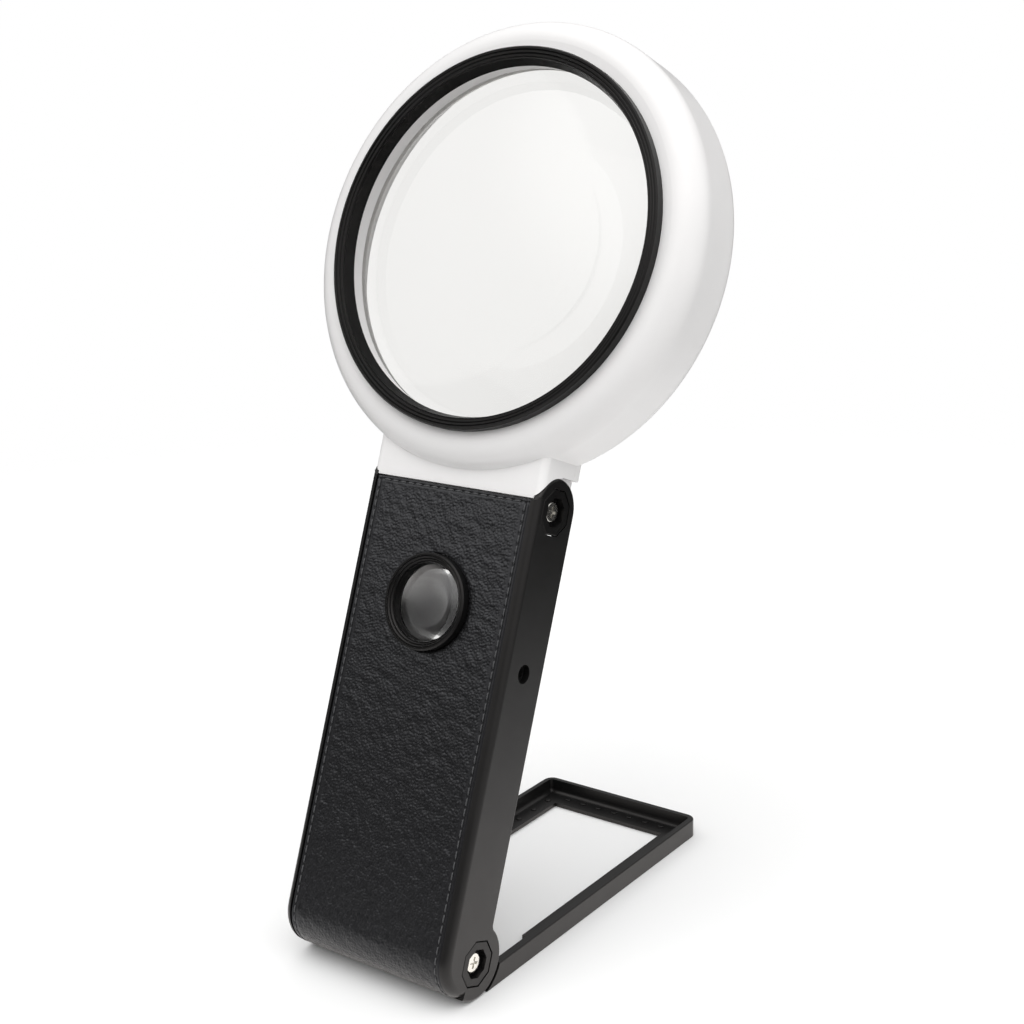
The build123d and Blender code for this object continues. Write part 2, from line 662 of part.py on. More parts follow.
def head_front_shell():
    """Front half of the ring and neck, with the lens seat and the hinge knuckle."""
    body = ring_body() + neck_body()
    body -= block((-100, PARTING, 100), (100, 40, 340))
    body -= hoop(0, BEZEL_RADIUS + SLIP, -40, BEZEL_SEAT, HEAD_CENTRE)
    seat = LENS_EDGE_FRONT - seat_room(LENS_RADIUS, BARREL_RADIUS, LENS_CURVE)
    body -= hoop(0, LENS_POCKET, seat, 20, HEAD_CENTRE)
    body -= hoop(0, LIP_RADIUS + 0.2, LIP_FRONT - SLIP, 20, HEAD_CENTRE)
    body -= ring_cavity()
    body -= neck_cavity()
    boss = post(BOSS_FRONT, PARTING, 0, 0, 2.7) - post(-8, 10, 0, 0, PILOT)
    for place in around_ring(SCREW_COUNT, SCREW_START):
        body += place * boss
    knuckle = rod(-TONGUE_HALF, TONGUE_HALF, UPPER_HINGE, KNUCKLE_RADIUS)
    knuckle -= pair(rod(UPPER_JOURNAL - 0.1, 40, UPPER_HINGE, JOURNAL + SLIP))
    knuckle -= pair(rod(10, 40, UPPER_HINGE, PIN_SHANK + SLIP))
    body -= pair(rod(UPPER_JOURNAL - 0.1, 40, UPPER_HINGE, JOURNAL + SLIP))
    return body + knuckle - pair(rod(BUSH_RECESS, 40, UPPER_HINGE, OCTAGON_POCKET))


def rear_opening():
    """Flared space behind the lens."""
    rear = HEAD_REAR + 1
    outline = Polyline((LIP_FRONT, 0), (LIP_FRONT, LIP_INNER), (rear, LIP_FLARE), (rear, 0), close=True)
    return turned(make_face(outline), HEAD_CENTRE)


def head_rear_shell():
    """Rear half of the ring and neck, with lamp windows and screw wells."""
    body = ring_body() + neck_body()
    body -= block((-100, -60, 100), (100, PARTING + SLIP, 340))
    body -= ring_cavity()
    body -= neck_cavity()
    body += hoop(BARREL_RADIUS, LIP_RADIUS, LIP_FRONT, HEAD_REAR - 1.9, HEAD_CENTRE)
    body -= rear_opening()
    body -= rod(-40, 40, UPPER_HINGE, KNUCKLE_RADIUS + SLIP)
    for place in around_ring(LED_COUNT, 0):
        body -= place * post(-5, 20, 0, 0, LED_RADIUS + 0.1)
    for place in around_ring(SCREW_COUNT, SCREW_START):
        body += place * post(PARTING + SLIP, HEAD_REAR - 0.5, 0, 0, 3.4)
        body -= place * post(-5, 20, 0, 0, SCREW_HOLE)
        body -= place * post(HEAD_REAR - 1.4, 20, 0, 0, SCREW_WELL)
    return body


def main_lens():
    """Large reading lens."""
    return biconvex(LENS_RADIUS, LENS_CURVE, LENS_EDGE_FRONT, LENS_EDGE_REAR, HEAD_CENTRE)


def main_lens_bezel():
    """Black ring in front of the lens, with fine grooves round its crest."""
    outline = [(BEZEL_SEAT - SLIP, BEZEL_RADIUS), (BEZEL_CREST + 0.6, BEZEL_RADIUS)]
    for step in range(3):
        radius = BEZEL_RADIUS - 0.45 - 1.15 * step
        depth = BEZEL_CREST + 0.4 * step
        outline += [(depth, radius), (depth + 0.05, radius - 0.6), (depth + 0.55, radius - 0.85)]
    outline += [(BEZEL_CREST + 1.3, BARREL_RADIUS - 0.1), (BEZEL_SEAT - 0.15, 59.3)]
    outline += [(BEZEL_SEAT - SLIP, 59.4)]
    return turned(make_face(Polyline(*outline, close=True)), HEAD_CENTRE)


def lens_retaining_ring():
    """Sleeve between the lens and the rear shell."""
    front = LENS_EDGE_REAR + seat_room(LENS_RADIUS, BARREL_RADIUS, LENS_CURVE)
    return hoop(BARREL_RADIUS, LENS_POCKET - 0.1, front, LIP_FRONT - SLIP, HEAD_CENTRE)


def led_board():
    """Ring-shaped lamp board, notched round the screw bosses."""
    board = hoop(*LED_BOARD, LED_BOARD_FRONT, LED_BOARD_REAR, HEAD_CENTRE)
    for place in around_ring(SCREW_COUNT, SCREW_START):
        board -= place * post(-10, 10, 0, 0, 2.9)
    return board


def head_leds():
    """Lamps on the board, looking out of the rear shell's windows."""
    one = lamp(LED_BOARD_REAR + SLIP, HEAD_REAR - 0.1)
    lamps = Part()
    for place in around_ring(LED_COUNT, 0):
        lamps += place * one
    return lamps


def head_screws():
    """Screws that hold the head's two shells together."""
    one = Rot(-90, 0, 0) * screw(2.2, 1.1, 1.0, 12)
    screws = Part()
    for place in around_ring(SCREW_COUNT, SCREW_START):
        screws += place * Pos(0, HEAD_REAR - 0.2, 0) * one
    return screws


def stand_pips():
    """Low round pips on the floor of the stand."""
    pip = Cylinder(PIP_RADIUS, PIP_HEIGHT + 0.2, align=UPWARD)
    pip = fillet(pip.edges().sort_by(Axis.Z)[-1], 0.3)
    spots = [(22 * step / 3, 134.9) for step in range(-3, 4)]
    for y in range(40, 131, 10):
        spots += [(-28.7, y), (28.7, y)]
    return [Pos(x, y, STAND_FLOOR - 0.2) * pip for x, y in spots]


def stand_frame():
    """U-shaped stand: two arms with hubs, joined by a cross bar at the far end."""
    frame = block((-HALF_WIDTH, 0, 0), (HALF_WIDTH, STAND_END, STAND_HEIGHT))
    corners = frame.edges().filter_by(Axis.Z).group_by(Axis.Y)[-1]
    frame = fillet(corners, STAND_CORNER)
    frame = fillet(frame.faces().sort_by(Axis.Z)[-1].edges(), 0.5)
    tray_half = HALF_WIDTH - STAND_WALL
    tray = block((-tray_half, STAND_STEP, STAND_FLOOR), (tray_half, STAND_END - STAND_WALL, 20))
    frame -= fillet(tray.edges().filter_by(Axis.Z) + tray.faces().sort_by(Axis.Z)[0].edges(), 1.6)
    frame -= block((-HUB_INNER, -20, -1), (HUB_INNER, STAND_OPENING, 20))
    frame -= block((-STAND_NARROW, STAND_STEP, -1), (STAND_NARROW, STAND_NOTCH, 20))
    hinge = (0, DISC_RADIUS)
    frame -= pair(rod(HUB_OUTER, HALF_WIDTH + 1, hinge, STAND_ARC))
    frame += pair(rod(HUB_INNER, HUB_OUTER, hinge, HUB_RADIUS))
    frame -= pair(rod(HUB_INNER - 1, HUB_OUTER + 1, hinge, JOURNAL + SLIP))
    for pip in stand_pips():
        frame += pip
    return frame


def upright_nodes():
    """Every piece of the handle and head, by name."""
    lower_end = BARREL_HALF + SLIP
    return {
        "handle_front_shell": handle_front_shell(),
        "handle_rear_cover": handle_rear_cover(),
        "cover_screws": cover_screws(),
        "leather_wrap": leather_wrap(),
        "battery_door": battery_door(),
        "battery_cells": battery_cells(),
        "battery_contact_plates": battery_contact_plates(),
        "battery_springs": battery_springs(),
        "circuit_board": circuit_board(),
        "dc_jack": dc_jack(),
        "slide_switch_body": slide_switch_body(),
        "switch_knob": switch_knob(),
        "spot_led": spot_led(),
        "small_lens_bezel": small_lens_bezel(),
        "small_lens": small_lens(),
        "small_lens_retainer": small_lens_retainer(),
        "small_lens_sleeve": small_lens_sleeve(),
        "upper_hinge_bushes": pair(hinge_bush(UPPER_HINGE, UPPER_JOURNAL)),
        "upper_hinge_screws": pair(hinge_screw(UPPER_HINGE, 20)),
        "upper_hinge_washers": pair(washer(BUSH_RECESS + SLIP, FLANGE_IN - SLIP, UPPER_HINGE, UPPER_WASHER)),
        "lower_hinge_bushes": pair(hinge_bush((0, 0), lower_end)),
        "lower_hinge_screws": pair(hinge_screw((0, 0), 22)),
        "lower_hinge_washers": pair(washer(lower_end, HUB_INNER - SLIP, (0, 0), LOWER_WASHER)),
        "head_front_shell": head_front_shell(),
        "head_rear_shell": head_rear_shell(),
        "main_lens": main_lens(),
        "main_lens_bezel": main_lens_bezel(),
        "lens_retaining_ring": lens_retaining_ring(),
        "led_board": led_board(),
        "head_leds": head_leds(),
        "head_screws": head_screws(),
    }


os.makedirs("parts", exist_ok=True)
for name, shape in upright_nodes().items():
    export_step(centred(stand_up(shape)), f"parts/{name}.step")
export_step(centred(stand_frame()), "parts/stand_frame.step")
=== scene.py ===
import json
import math

import bpy
import numpy as np
from mathutils import Matrix, Vector


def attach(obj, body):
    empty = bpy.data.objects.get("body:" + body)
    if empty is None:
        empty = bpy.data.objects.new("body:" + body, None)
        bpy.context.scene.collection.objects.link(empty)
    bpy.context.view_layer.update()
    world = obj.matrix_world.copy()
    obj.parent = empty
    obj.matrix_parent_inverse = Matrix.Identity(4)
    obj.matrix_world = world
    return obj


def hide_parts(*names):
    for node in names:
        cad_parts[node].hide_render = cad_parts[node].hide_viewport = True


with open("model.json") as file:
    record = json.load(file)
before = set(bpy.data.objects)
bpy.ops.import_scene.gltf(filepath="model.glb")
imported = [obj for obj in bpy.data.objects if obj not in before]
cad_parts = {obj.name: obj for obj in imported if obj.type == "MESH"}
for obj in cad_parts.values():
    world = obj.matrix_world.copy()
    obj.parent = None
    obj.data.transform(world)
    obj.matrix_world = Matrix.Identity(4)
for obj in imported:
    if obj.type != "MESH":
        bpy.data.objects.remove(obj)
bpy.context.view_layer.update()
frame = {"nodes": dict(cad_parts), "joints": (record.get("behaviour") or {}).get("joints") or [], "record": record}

# The handle leans back along the switch's sliding axis. Handle and head pieces are drawn upright in
# millimetres, as (x, depth, height) from the middle of the lower hinge, and UPRIGHT puts them in place.
JOINTS = {joint["name"]: joint for joint in frame["joints"]}
SLIDE_AXIS = JOINTS["switch_slide"]["axis"]
LEAN = math.atan2(SLIDE_AXIS[1], SLIDE_AXIS[2])
LOWER_HINGE = Vector(JOINTS["stand_fold"]["pos_m"])
MM = 0.001
UPRIGHT = Matrix.Translation(LOWER_HINGE) @ Matrix.Rotation(-LEAN, 4, "X") @ Matrix.Scale(MM, 4)

# Leather, in upright millimetres
FRONT = -17.2
LEATHER_TOP = 150.1
LEATHER_HALF = 32.0
LEATHER_DEEP = 1.42
CORNER_RADIUS = 13.8
CORNER_DEPTH = FRONT + CORNER_RADIUS
CORNER_HEIGHT = 2.6
WRAP = math.radians(87.5)
STRAIGHT = LEATHER_TOP - CORNER_HEIGHT
LEATHER_LENGTH = STRAIGHT + CORNER_RADIUS * WRAP
LENS_HEIGHT = 111.2
LENS_HOLE = 16.35
HOLE_ALONG = LEATHER_TOP - LENS_HEIGHT
HOLE_LIP = 0.8  # width of the rounding round the lens hole
HOLE_DROP = 0.35
HOLE_CATCH = 0.75  # points this share of a mesh step from the hole's edge are drawn onto it
MESH_STEP = 0.28

# Grain of the leather, and the smooth margin outside its seams
GRAIN_CELL = 0.94
GRAIN_DEPTH = 0.28
GRAIN_START = 40.0  # keeps the grain's coordinates positive across the whole width
GRAIN_DOWN = 5.0
GRAIN_WARP = 0.4
GRAIN_STRETCH = 0.1  # the coarse grain is this share longer down the handle, the fine grain shorter
FINE_CELL = 0.6  # size of the fine grain as a share of the coarse
PEBBLE_SIZES = (0.82, 1.18)
PEBBLE_RISES = (0.55, 1.0)
CREASE_WIDTH = 0.5  # as a share of the cell
COARSE_SHARE = 0.7
MARGIN_GRAIN = 0.6
GRAIN_MIDDLE = 0.7
SIDE_MARGIN = (2.5, 3.7)  # from the side edges, where the margin ends and the full grain starts
TOP_MARGIN = (1.8, 2.8)
MARGIN_DIP = (2.4, 3.6)
MARGIN_DROP = 0.1
WAVES = 14  # slow waves summed into the unevenness of the leather
WAVE_SIZES = (3.5, 14.0)
WAVE_SHARE = 4.0
WAVE_HEIGHT = 0.05
WAVE_SHIFT = 9.0
EDGE_ROUND = 0.7

# Seams
SIDE_STITCH = 30.4  # distance of the side seams from the middle
TOP_STITCH = 1.15  # distance of the top seam below the upper edge
STITCH_PITCH = 3.4
STITCH_LENGTH = 2.5
FIRST_STITCH = 1.9  # from the top seam down to the first stitch of a side seam
SIDE_SEAM_SPARE = 3.0  # length at a seam's ends that is too short for another stitch
TOP_SEAM_SPARE = 1.0
SEAM_DEPTH = 0.16
SEAM_WIDTH = 0.42
PIT_DEPTH = 0.3
PIT_WIDTH = 0.36
PIT_REACH = 1.2
PIT_OFFSET = 0.1  # from a stitch's end to its needle hole
THREAD = 0.25
THREAD_WIDER = 1.15
THREAD_TWIST = 0.1
TWIST_TURN = 5.0  # radians of twist from a stitch's middle to its end
THREAD_TIP = 0.02
THREAD_END = 0.12  # how far a thread runs past the stitch length
THREAD_SINK = -0.3
THREAD_ARCH = 0.25
SIDE_SINK = 0.1
THREAD_RINGS = 11
THREAD_SIDES = 10

# Lenses, as (radius of both ball faces, depths of the front and rear apex, height), upright millimetres
MAIN_LENS = (240.0, -22.46, -1.94, 232.3)
SMALL_LENS = (30.0, -18.66, -10.74, LENS_HEIGHT)
LENS_FACE = 0.6  # a face belongs to a ball where its normal is this close to the lens axis
LENS_TINT = (0.9, 0.895, 0.88)
LENS_INDEX = 1.49

# Sheen of the black pieces
WARM_SHEEN = (1.0, 0.95, 0.93)
COOL_SHEEN = (0.95, 0.96, 1.0)
BLACK_SPECULAR = 0.34
SATIN_SPECULAR = 0.24
LEATHER_SPECULAR = 0.34

# Soft sources in the surround, as (direction, half angle in degrees, strength)
SOFT_SOURCES = (
    ((0.0, 0.0, 1.0), 100.0, 0.9),
    ((0.0, -0.5, 0.86), 46.0, 1.85),
    ((0.9, 0.0, 0.45), 60.0, 0.84),
    ((-0.9, -0.2, 0.35), 50.0, 0.18),
    ((0.0, 0.0, -1.0), 180.0, 0.03),
)
PANEL_PLACE = (-0.42, -0.62, 0.58)
PANEL_AIM = (0.0, 0.0, 0.1)
PANEL_SIZE = (0.6, 0.36)
PANEL_POWER = 1.5

# Floor, in metres from the middle
FLOOR_SIDES = 96
FLOOR_DROP = 0.0002  # below the table plane, so that nothing lies in it
FLOOR_SEEN = (0.3, 0.8)  # where the floor starts and ends its fade
FLOOR_MIRRORED = (0.12, 0.45)  # the same, as glossy surfaces see it
FLOOR_GLOW = (0.06, 0.16)  # where the extra light that glossy surfaces see in the floor fades
GLOW_POWER = 0.5
GLOW_TINT = (1.0, 0.93, 0.88)

# Camera, measured from the lower hinge in metres and degrees
CAMERA_OFFSET = (0.33197, -0.37255, 0.28359)
CAMERA_AZIMUTH = 36.7
CAMERA_ELEVATION = 15.56
CAMERA_ROLL = 1.68
FOCAL_LENGTH = 58.3
SENSOR_WIDTH = 36.0


# ---------------------------------------------------------------- shader nodes
NOISE_RANGE = (0.3, 0.7)  # what a noise mostly keeps to


def new_material(name):
    """An empty node material with a Principled shader, as (material, nodes, links, shader)."""
    material = bpy.data.materials.new(name)
    material.use_nodes = True
    tree = material.node_tree
    return material, tree.nodes, tree.links, tree.nodes["Principled BSDF"]


def noise_node(nodes, links, scale, detail=4.0, rough=0.55):
    """Noise on object coordinates."""
    place = nodes.new("ShaderNodeTexCoord")
    noise = nodes.new("ShaderNodeTexNoise")
    noise.inputs["Scale"].default_value = scale
    noise.inputs["Detail"].default_value = detail
    noise.inputs["Roughness"].default_value = rough
    links.new(place.outputs["Object"], noise.inputs["Vector"])
    return noise.outputs["Fac"]


def remap(nodes, links, value, source, target, interpolation="LINEAR"):
    """Maps a value from one range onto another, clamped."""
    node = nodes.new("ShaderNodeMapRange")
    node.interpolation_type = interpolation
    node.inputs["From Min"].default_value = source[0]
    node.inputs["From Max"].default_value = source[1]
    node.inputs["To Min"].default_value = target[0]
    node.inputs["To Max"].default_value = target[1]
    links.new(value, node.inputs["Value"])
    return node.outputs["Result"]


def span(nodes, links, factor, low, high):
    """Maps a noise onto low to high."""
    return remap(nodes, links, factor, NOISE_RANGE, (low, high))


def colour_mix(nodes, links, factor, first, second):
    """Mixes two colours, each a constant or a socket, by a factor."""
    mix = nodes.new("ShaderNodeMix")
    mix.data_type = "RGBA"
    links.new(factor, mix.inputs[0])
    for slot, colour in ((mix.inputs[6], first), (mix.inputs[7], second)):
        if isinstance(colour, bpy.types.NodeSocket):
            links.new(colour, slot)
        else:
            slot.default_value = (*colour, 1)
    return mix.outputs[2]


def number_node(nodes, links, operation, first, second):
    """Arithmetic on a socket and a socket or constant."""
    node = nodes.new("ShaderNodeMath")
    node.operation = operation
    links.new(first, node.inputs[0])
    if isinstance(second, bpy.types.NodeSocket):
        links.new(second, node.inputs[1])
    else:
        node.inputs[1].default_value = second
    return node.outputs[0]


def vector_node(nodes, links, operation, first, second=None):
    """Vector arithmetic on a socket and, for most operations, a constant."""
    node = nodes.new("ShaderNodeVectorMath")
    node.operation = operation
    links.new(first, node.inputs[0])
    if second is not None:
        node.inputs[1].default_value = second
    return node.outputs["Value" if operation in ("DOT_PRODUCT", "LENGTH") else "Vector"]


def bump(nodes, links, height, strength, depth, under=None):
    """Bump from a height, with its depth in millimetres, on top of another bump's normal if given."""
    node = nodes.new("ShaderNodeBump")
    node.inputs["Strength"].default_value = strength
    node.inputs["Distance"].default_value = depth * MM
    links.new(height, node.inputs["Height"])
    if under is not None:
        links.new(under, node.inputs["Normal"])
    return node.outputs["Normal"]


def edge_wear(nodes, links, reach, shown):
    """0 to shown along sharp edges, from the difference between the bevelled and the plain normal."""
    bevel = nodes.new("ShaderNodeBevel")
    bevel.samples = 4
    bevel.inputs["Radius"].default_value = reach * MM
    geometry = nodes.new("ShaderNodeNewGeometry")
    dot = nodes.new("ShaderNodeVectorMath")
    dot.operation = "DOT_PRODUCT"
    links.new(bevel.outputs["Normal"], dot.inputs[0])
    links.new(geometry.outputs["Normal"], dot.inputs[1])
    return remap(nodes, links, dot.outputs["Value"], (1.0, 0.9), (0.0, shown))


# ---------------------------------------------------------------- materials
def moulded_plastic(name, colours, roughness, grain, coat=0.0, wear=0.0, specular=0.5):
    """Moulded plastic: fine spark-eroded grain, slight colour and gloss drift, rubbed edges."""
    material, nodes, links, shader = new_material(name)
    drift = noise_node(nodes, links, scale=45.0, detail=3.0)
    base = colour_mix(nodes, links, span(nodes, links, drift, 0.0, 1.0), *colours)
    if wear > 0:
        rubbed = [min(1.0, channel * 3 + 0.04) for channel in colours[1]]
        base = colour_mix(nodes, links, edge_wear(nodes, links, 0.4, wear), base, rubbed)
    links.new(base, shader.inputs["Base Color"])
    rub = noise_node(nodes, links, scale=110.0, detail=2.0)
    rough = span(nodes, links, rub, roughness - 0.02, roughness + 0.03)
    links.new(rough, shader.inputs["Roughness"])
    fine = noise_node(nodes, links, scale=4200.0, detail=2.0)
    links.new(bump(nodes, links, fine, strength=grain, depth=0.03), shader.inputs["Normal"])
    shader.inputs["Specular IOR Level"].default_value = specular
    shader.inputs["Specular Tint"].default_value = (*WARM_SHEEN, 1)
    shader.inputs["Coat Weight"].default_value = coat
    shader.inputs["Coat Roughness"].default_value = 0.12
    return material


def leather_material():
    """Black pebbled leather: pebble tops painted lighter as a highlight, creases painted darker as shade, fine
    pores.
    """
    material, nodes, links, shader = new_material("pebbled_leather")
    height = nodes.new("ShaderNodeAttribute")
    height.attribute_name = "grain_height"
    # Painted light from the grain height: pebble tops get a painted highlight, creases get painted shade.
    pebble_painted_light = span(nodes, links, height.outputs["Fac"], 0.0, 1.0)
    base = colour_mix(nodes, links, pebble_painted_light, (0.002, 0.002, 0.0022), (0.006, 0.0058, 0.0066))
    links.new(base, shader.inputs["Base Color"])
    drift = noise_node(nodes, links, scale=900.0)
    links.new(span(nodes, links, drift, 0.32, 0.44), shader.inputs["Roughness"])
    place = nodes.new("ShaderNodeTexCoord")
    cells = nodes.new("ShaderNodeTexVoronoi")
    cells.feature = "DISTANCE_TO_EDGE"
    cells.inputs["Scale"].default_value = 2100.0
    links.new(place.outputs["Object"], cells.inputs["Vector"])
    pores = bump(nodes, links, cells.outputs["Distance"], strength=0.35, depth=0.06)
    dust = noise_node(nodes, links, scale=3800.0, detail=3.0)
    links.new(bump(nodes, links, dust, 0.25, 0.04, under=pores), shader.inputs["Normal"])
    shader.inputs["Specular IOR Level"].default_value = LEATHER_SPECULAR
    shader.inputs["Specular Tint"].default_value = (*COOL_SHEEN, 1)
    return material


def thread_material():
    """Waxed black sewing thread with a twist."""
    material, nodes, links, shader = new_material("waxed_thread")
    fibre = noise_node(nodes, links, scale=5200.0, detail=3.0)
    base = colour_mix(nodes, links, fibre, (0.02, 0.02, 0.022), (0.055, 0.055, 0.058))
    links.new(base, shader.inputs["Base Color"])
    shader.inputs["Roughness"].default_value = 0.42
    place = nodes.new("ShaderNodeTexCoord")
    wave = nodes.new("ShaderNodeTexWave")
    wave.bands_direction = "DIAGONAL"
    wave.inputs["Scale"].default_value = 1400.0
    links.new(place.outputs["Object"], wave.inputs["Vector"])
    links.new(bump(nodes, links, wave.outputs["Fac"], strength=0.5, depth=0.06), shader.inputs["Normal"])
    return material


def metal_material(name, colour, roughness, coarse):
    """Machined or plated metal with fine tool marks."""
    material, nodes, links, shader = new_material(name)
    shader.inputs["Metallic"].default_value = 1.0
    marks = noise_node(nodes, links, scale=coarse, rough=0.6)
    darker = [channel * 0.78 for channel in colour]
    links.new(colour_mix(nodes, links, marks, darker, colour), shader.inputs["Base Color"])
    rough = span(nodes, links, marks, roughness - 0.06, roughness + 0.08)
    links.new(rough, shader.inputs["Roughness"])
    links.new(bump(nodes, links, marks, strength=0.12, depth=0.04), shader.inputs["Normal"])
    return material


def clear_material(name, tint, index, roughness):
    """Clear optical plastic with a faint tint and barely uneven polish."""
    material, nodes, links, shader = new_material(name)
    drift = noise_node(nodes, links, scale=25.0, detail=2.0)
    paler = [min(1.0, channel + 0.01) for channel in tint]
    links.new(colour_mix(nodes, links, drift, tint, paler), shader.inputs["Base Color"])
    shader.inputs["Transmission Weight"].default_value = 1.0
    shader.inputs["IOR"].default_value = index
    polish = noise_node(nodes, links, scale=60.0)
    links.new(span(nodes, links, polish, roughness, roughness + 0.004), shader.inputs["Roughness"])
    return material


def turned_normal(nodes, links, normal, source, target):
    """A normal moved from one space to another."""
    node = nodes.new("ShaderNodeVectorTransform")
    node.vector_type = "NORMAL"
    node.convert_from = source
    node.convert_to = target
    links.new(normal, node.inputs[0])
    return node.outputs[0]


def scaled_normal(nodes, links, normal, factor):
    """A normal times a factor."""
    node = nodes.new("ShaderNodeVectorMath")
    node.operation = "SCALE"
    links.new(normal, node.inputs[0])
    links.new(factor, node.inputs["Scale"])
    return node.outputs["Vector"]


def ball_normal(nodes, links, depth, height):
    """Outward normal, in object space, of a ball face centred at an upright depth and height."""
    point = nodes.new("ShaderNodeTexCoord").outputs["Object"]
    centre = UPRIGHT @ Vector((0.0, depth, height))
    away = vector_node(nodes, links, "SUBTRACT", point, centre)
    return vector_node(nodes, links, "NORMALIZE", away)


def chosen_normal(nodes, links, facing, other, ball):
    """The ball's normal on the faces that look along the lens axis, otherwise the other normal."""
    mix = nodes.new("ShaderNodeMix")
    mix.data_type = "VECTOR"
    links.new(number_node(nodes, links, "GREATER_THAN", facing, LENS_FACE), mix.inputs[0])
    links.new(other, mix.inputs[4])
    links.new(ball, mix.inputs[5])
    return mix.outputs[1]


def lens_material(name, curve, front_apex, rear_apex, height):
    """Clear lens whose two faces are shaded as true ball faces, seen from outside and from within."""
    material = clear_material(name, LENS_TINT, LENS_INDEX, roughness=0.0)
    nodes, links = material.node_tree.nodes, material.node_tree.links
    geometry = nodes.new("ShaderNodeNewGeometry")
    side = remap(nodes, links, geometry.outputs["Backfacing"], (0.0, 1.0), (1.0, -1.0))
    inward = turned_normal(nodes, links, geometry.outputs["True Normal"], "WORLD", "OBJECT")
    normal = scaled_normal(nodes, links, inward, side)
    forward = (UPRIGHT.to_3x3() @ Vector((0.0, -1.0, 0.0))).normalized()
    front = vector_node(nodes, links, "DOT_PRODUCT", normal, forward)
    rear = vector_node(nodes, links, "DOT_PRODUCT", normal, -forward)
    front_ball = ball_normal(nodes, links, front_apex + curve, height)
    rear_ball = ball_normal(nodes, links, rear_apex - curve, height)
    normal = chosen_normal(nodes, links, front, normal, front_ball)
    normal = chosen_normal(nodes, links, rear, normal, rear_ball)
    outward = turned_normal(nodes, links, normal, "OBJECT", "WORLD")
    shown = scaled_normal(nodes, links, outward, side)
    links.new(shown, nodes["Principled BSDF"].inputs["Normal"])
    return material


def board_material():
    """Green solder mask with faint copper tracks."""
    material, nodes, links, shader = new_material("solder_mask")
    place = nodes.new("ShaderNodeTexCoord")
    tracks = nodes.new("ShaderNodeTexBrick")
    tracks.inputs["Scale"].default_value = 300.0
    tracks.inputs["Color1"].default_value = (0.01, 0.12, 0.04, 1)
    tracks.inputs["Color2"].default_value = (0.012, 0.14, 0.05, 1)
    tracks.inputs["Mortar"].default_value = (0.05, 0.25, 0.1, 1)
    tracks.inputs["Mortar Size"].default_value = 0.03
    links.new(place.outputs["Object"], tracks.inputs["Vector"])
    links.new(tracks.outputs["Color"], shader.inputs["Base Color"])
    links.new(bump(nodes, links, tracks.outputs["Fac"], strength=0.2, depth=0.05), shader.inputs["Normal"])
    shader.inputs["Roughness"].default_value = 0.3
    return material


def jacket_material():
    """Printed metal jacket of a cell: plain dark blue, slightly uneven."""
    material, nodes, links, shader = new_material("cell_jacket")
    drift = noise_node(nodes, links, scale=120.0, detail=3.0)
    base = colour_mix(nodes, links, drift, (0.02, 0.05, 0.11), (0.03, 0.07, 0.15))
    links.new(base, shader.inputs["Base Color"])
    shader.inputs["Metallic"].default_value = 0.7
    links.new(span(nodes, links, drift, 0.28, 0.38), shader.inputs["Roughness"])
    return material


def grey(first, second):
    """Two neutral colours."""
    return (first,) * 3, (second,) * 3


MATERIALS = {
    "black_plastic": moulded_plastic(
        "black_moulded", grey(0.004, 0.006), 0.36, grain=0.3, wear=0.12, specular=BLACK_SPECULAR
    ),
    "black_gloss": moulded_plastic(
        "black_satin", grey(0.003, 0.005), 0.34, grain=0.08, wear=0.04, specular=SATIN_SPECULAR
    ),
    "inner_black_plastic": moulded_plastic("black_inner", grey(0.008, 0.013), 0.5, grain=0.3),
    "white_plastic": moulded_plastic(
        "white_moulded", ((0.825, 0.815, 0.81), (0.845, 0.835, 0.83)), 0.32, grain=0.03, coat=0.12
    ),
    "black_leather": leather_material(),
    "thread": thread_material(),
    "screw_steel": metal_material("zinc_steel", (0.8, 0.78, 0.73), 0.22, coarse=2600.0),
    "spring_steel": metal_material("nickel_spring", (0.7, 0.67, 0.6), 0.25, coarse=1800.0),
    "cell_jacket": jacket_material(),
    "circuit_board": board_material(),
    "lamp_clear": clear_material("clear_epoxy", (0.93, 0.94, 0.9), 1.52, roughness=0.03),
    "lens_clear": lens_material("optical_plastic", *MAIN_LENS),
    "washer_nylon": moulded_plastic("nylon", ((0.55, 0.54, 0.5), (0.6, 0.59, 0.56)), 0.4, grain=0.1),
}
TUBE_MATERIAL = moulded_plastic("grey_tube", ((0.05, 0.05, 0.054), (0.06, 0.06, 0.064)), 0.4, grain=0.0)
NODE_MATERIALS = {
    "small_lens": lens_material("optical_plastic_small", *SMALL_LENS),
    "small_lens_sleeve": TUBE_MATERIAL,
    "small_lens_retainer": TUBE_MATERIAL,
}


def dress_frame():
    """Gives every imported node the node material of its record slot, or its own where it has one."""
    slots = {part["node"]: part["material_slot"] for part in frame["record"]["subparts"]}
    for name, obj in frame["nodes"].items():
        obj.data.materials.clear()
        obj.data.materials.append(NODE_MATERIALS.get(name, MATERIALS[slots[name]]))


# ---------------------------------------------------------------- mesh helpers
def mesh_object(name, points, faces, material):
    """A smooth mesh piece from upright millimetre points, put in place and riding on the handle."""
    mesh = bpy.data.meshes.new(name)
    mesh.from_pydata([tuple(p) for p in points], [], faces)
    mesh.transform(UPRIGHT)
    mesh.validate()
    mesh.materials.append(MATERIALS[material])
    mesh.polygons.foreach_set("use_smooth", [True] * len(mesh.polygons))
    obj = bpy.data.objects.new(name, mesh)
    bpy.context.scene.collection.objects.link(obj)
    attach(obj, "handle")
    return obj


def grid_faces(rows, columns, start=0, closed_columns=False):
    """Quads of a grid of points stored row by row."""
    faces = []
    last = columns if closed_columns else columns - 1
    for row in range(rows - 1):
        for column in range(last):
            right = (column + 1) % columns
            a = start + row * columns + column
            b = start + row * columns + right
            faces.append((a, b, b + columns, a + columns))
    return faces


